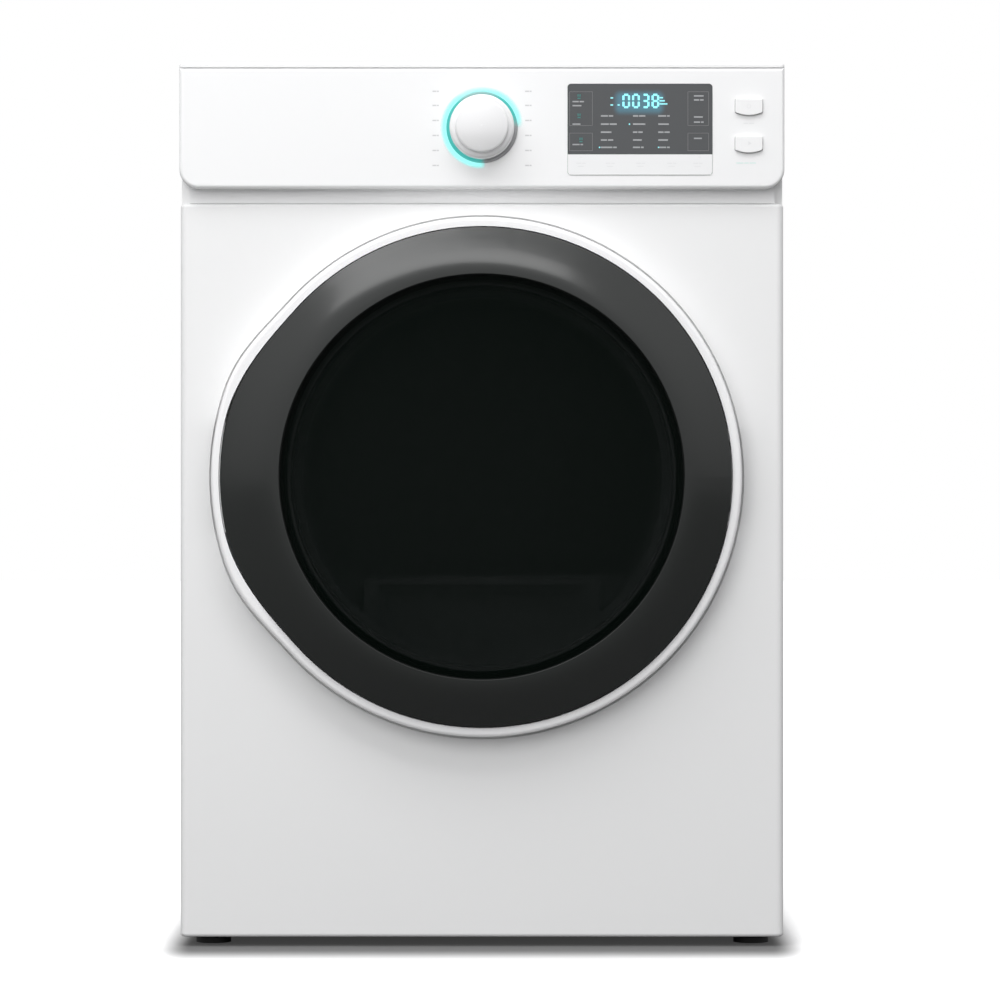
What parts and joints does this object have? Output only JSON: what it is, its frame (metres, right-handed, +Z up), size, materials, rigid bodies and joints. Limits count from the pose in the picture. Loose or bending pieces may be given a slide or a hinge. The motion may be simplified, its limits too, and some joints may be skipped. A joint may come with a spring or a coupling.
{
  "type": "clothes dryer",
  "caption": "Front-loading tumble dryer: round smoked-glass door in a silver ring, top control console with one knob, a display and push buttons, rear air outlet.",
  "frame": {"origin": "on the floor plane under the feet, at the centre of the overall size in plan", "axes": "+X to the right seen from the front, the door faces -Y, +Y to the rear where the air outlet is, +Z up"},
  "size_m": [0.686, 0.78, 1.003],
  "materials": {
    "baffle_plastic": "smooth",
    "belt_rubber": "ribbed belt",
    "black_plastic": "fine texture",
    "black_rubber": "soft seal",
    "board_green": "circuit board",
    "dark_window": "dark tinted glass",
    "door_glass": "clear moulded glass",
    "drum_steel": "satin stainless sheet",
    "element_sheath": "heat-tinted sheath",
    "felt": "pressed wool felt",
    "filter_plastic": "moulded frame with fine mesh",
    "foot_rubber": "moulded foot",
    "galvanised_steel": "zinc-coated sheet",
    "grey_key_plastic": "smooth semi-gloss",
    "grey_plastic": "fine texture",
    "knob_silver": "satin silver coating",
    "lamp_lens": "frosted",
    "light_ring": "translucent light guide",
    "motor_steel": "black enamel",
    "plated_steel": "zinc plated",
    "roller_rubber": "tread",
    "screw_steel": "zinc plated",
    "smoked_cover": "smoked polycarbonate",
    "smoked_display": "smoked acrylic",
    "spring_steel": "oiled wire",
    "stainless_steel": "brushed",
    "switch_white": "smooth",
    "trim_silver": "satin silver coating",
    "white_plastic": "smooth semi-gloss",
    "white_steel": "gloss white enamel"
  },
  "bodies": {
    "cabinet": {"base_pan": "galvanised_steel", "left_side_panel": "white_steel", "right_side_panel": "white_steel", "rear_panel": "galvanised_steel", "top_cover": "white_steel", "front_panel": "white_steel", "cabinet_screws": "screw_steel", "console_fascia": "white_plastic", "display_window": "smoked_display", "touch_key_strip": "grey_key_plastic", "ui_board": "board_green", "knob_light_ring": "light_ring", "control_board": "board_green", "hinge_bracket": "plated_steel", "door_catch": "black_plastic", "door_switch": "black_plastic", "opening_gasket": "black_rubber", "front_bulkhead": "galvanised_steel", "rear_bulkhead": "galvanised_steel", "drum_felts": "felt", "drum_lamp": "lamp_lens", "moisture_sensors": "stainless_steel", "roller_shafts": "plated_steel", "drum_belt": "belt_rubber", "motor": "motor_steel", "blower_housing": "grey_plastic", "idler_spring": "spring_steel", "lint_duct": "grey_plastic", "heater_housing": "galvanised_steel", "heater_coil": "element_sheath", "thermostats": "black_plastic", "exhaust_pipe": "galvanised_steel", "terminal_block": "black_plastic", "terminal_cover": "galvanised_steel"},
    "door": {"door_trim_ring": "trim_silver", "door_cover": "smoked_cover", "door_window": "dark_window", "door_inner_frame": "grey_plastic", "door_inner_glass": "door_glass", "door_grip": "grey_plastic", "door_strike": "plated_steel", "hinge_leaf": "plated_steel", "door_screws": "screw_steel"},
    "drum": {"drum_shell": "drum_steel", "drum_baffles": "baffle_plastic"},
    "rotor": {"motor_shaft": "plated_steel", "blower_wheel": "black_plastic"},
    "selector_knob": {"selector_knob": "knob_silver"},
    "power_button": {"power_button": "white_plastic"},
    "start_button": {"start_button": "white_plastic"},
    "door_switch_plunger": {"door_switch_plunger": "switch_white"},
    "roller_left": {"roller_left": "roller_rubber"},
    "roller_right": {"roller_right": "roller_rubber"},
    "idler_arm": {"idler_arm": "plated_steel"},
    "idler_pulley": {"idler_pulley": "black_plastic"},
    "lint_filter": {"lint_filter": "filter_plastic"},
    "foot_front_left": {"foot_front_left": "foot_rubber"},
    "foot_front_right": {"foot_front_right": "foot_rubber"},
    "foot_rear_left": {"foot_rear_left": "foot_rubber"},
    "foot_rear_right": {"foot_rear_right": "foot_rubber"}
  },
  "joints": [
    {"name": "door_hinge", "type": "hinge", "parent": "cabinet", "child": "door", "pos_m": [0.283, -0.346, 0.534], "axis": [0, 0, 1], "range_deg": [0, 150]},
    {"name": "knob_turn", "type": "hinge", "parent": "cabinet", "child": "selector_knob", "pos_m": [0, -0.36, 0.93], "axis": [0, 1, 0], "continuous": true},
    {"name": "power_press", "type": "slide", "parent": "cabinet", "child": "power_button", "axis": [0, 1, 0], "range_m": [0, 0.002], "stiffness_N_per_m": 1200, "springref_m": -0.0005},
    {"name": "start_press", "type": "slide", "parent": "cabinet", "child": "start_button", "axis": [0, 1, 0], "range_m": [0, 0.002], "stiffness_N_per_m": 1200, "springref_m": -0.0005},
    {"name": "door_switch_travel", "type": "slide", "parent": "cabinet", "child": "door_switch_plunger", "axis": [0, -1, 0], "range_m": [0, 0.005]},
    {"name": "drum_spin", "type": "hinge", "parent": "cabinet", "child": "drum", "pos_m": [0, 0, 0.565], "axis": [0, 1, 0], "continuous": true},
    {"name": "roller_left_spin", "type": "hinge", "parent": "cabinet", "child": "roller_left", "pos_m": [-0.2201, 0.283, 0.28329], "axis": [0, 1, 0], "continuous": true},
    {"name": "roller_right_spin", "type": "hinge", "parent": "cabinet", "child": "roller_right", "pos_m": [0.2201, 0.283, 0.28329], "axis": [0, 1, 0], "continuous": true},
    {"name": "rotor_spin", "type": "hinge", "parent": "cabinet", "child": "rotor", "pos_m": [-0.145, -0.116, 0.125], "axis": [0, 1, 0], "continuous": true},
    {"name": "idler_swing", "type": "hinge", "parent": "cabinet", "child": "idler_arm", "pos_m": [-0.115, 0.0085, 0.062], "axis": [0, 1, 0], "range_deg": [0, 12], "stiffness_Nm_per_rad": 2, "springref_deg": -17.19, "deforming": ["idler_spring"]},
    {"name": "idler_pulley_spin", "type": "hinge", "parent": "idler_arm", "child": "idler_pulley", "pos_m": [-0.1, -0.008, 0.118], "axis": [0, 1, 0], "continuous": true},
    {"name": "lint_filter_lift", "type": "slide", "parent": "cabinet", "child": "lint_filter", "axis": [0, 0, 1], "range_m": [0, 0.19]},
    {"name": "foot_front_left_level", "type": "slide", "parent": "cabinet", "child": "foot_front_left", "axis": [0, 0, 1], "range_m": [-0.02, 0]},
    {"name": "foot_front_right_level", "type": "slide", "parent": "cabinet", "child": "foot_front_right", "axis": [0, 0, 1], "range_m": [-0.02, 0]},
    {"name": "foot_rear_left_level", "type": "slide", "parent": "cabinet", "child": "foot_rear_left", "axis": [0, 0, 1], "range_m": [-0.02, 0]},
    {"name": "foot_rear_right_level", "type": "slide", "parent": "cabinet", "child": "foot_rear_right", "axis": [0, 0, 1], "range_m": [-0.02, 0]}
  ],
  "couplings": [
    {"joint": "door_switch_travel", "follows": "door_hinge", "m_per_rad": 0.0019},
    {"joint": "roller_left_spin", "follows": "drum_spin", "ratio": -8.4},
    {"joint": "roller_right_spin", "follows": "drum_spin", "ratio": -8.4},
    {"joint": "rotor_spin", "follows": "drum_spin", "ratio": 27.695},
    {"joint": "idler_pulley_spin", "follows": "drum_spin", "ratio": -12.667}
  ]
}
